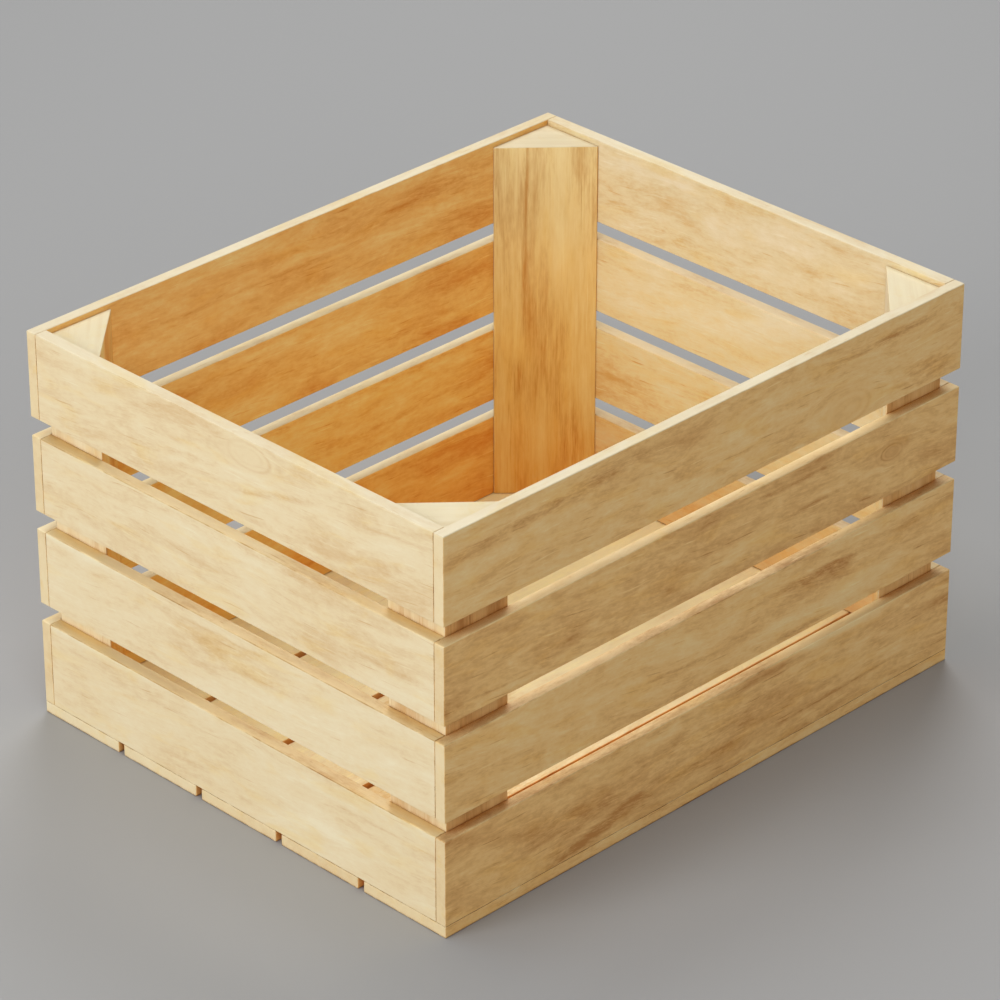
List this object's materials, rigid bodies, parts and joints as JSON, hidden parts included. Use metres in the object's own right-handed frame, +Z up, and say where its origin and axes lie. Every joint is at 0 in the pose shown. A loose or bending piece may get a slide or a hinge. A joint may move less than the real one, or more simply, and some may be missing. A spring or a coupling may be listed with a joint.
{
  "type": "wooden fruit crate",
  "caption": "Open slatted wooden crate for harvested fruit: planed boards pinned to triangular corner posts, over a base of lengthwise slats with air gaps.",
  "frame": {"origin": "middle of the footprint, on the floor that the base slats stand on", "axes": "+X along the crate's length to the right, +Y across it to the rear, +Z up"},
  "size_m": [0.5, 0.4, 0.3],
  "materials": {
    "side_wood": "planed, untreated, matte",
    "end_wood": "planed, untreated, matte",
    "base_wood": "planed, untreated, matte",
    "post_wood": "planed, untreated, matte",
    "pin_steel": "bright drawn wire"
  },
  "bodies": {
    "root": {"front_bottom_board": "side_wood", "rear_bottom_board": "side_wood", "left_bottom_board": "end_wood", "right_bottom_board": "end_wood", "front_lower_board": "side_wood", "rear_lower_board": "side_wood", "left_lower_board": "end_wood", "right_lower_board": "end_wood", "front_upper_board": "side_wood", "rear_upper_board": "side_wood", "left_upper_board": "end_wood", "right_upper_board": "end_wood", "front_top_board": "side_wood", "rear_top_board": "side_wood", "left_top_board": "end_wood", "right_top_board": "end_wood", "base_slat_1": "base_wood", "base_slat_2": "base_wood", "base_slat_3": "base_wood", "base_slat_4": "base_wood", "base_slat_5": "base_wood", "front_left_post": "post_wood", "front_right_post": "post_wood", "rear_left_post": "post_wood", "rear_right_post": "post_wood", "front_pins": "pin_steel", "rear_pins": "pin_steel", "left_pins": "pin_steel", "right_pins": "pin_steel", "base_pins": "pin_steel"}
  },
  "joints": []
}
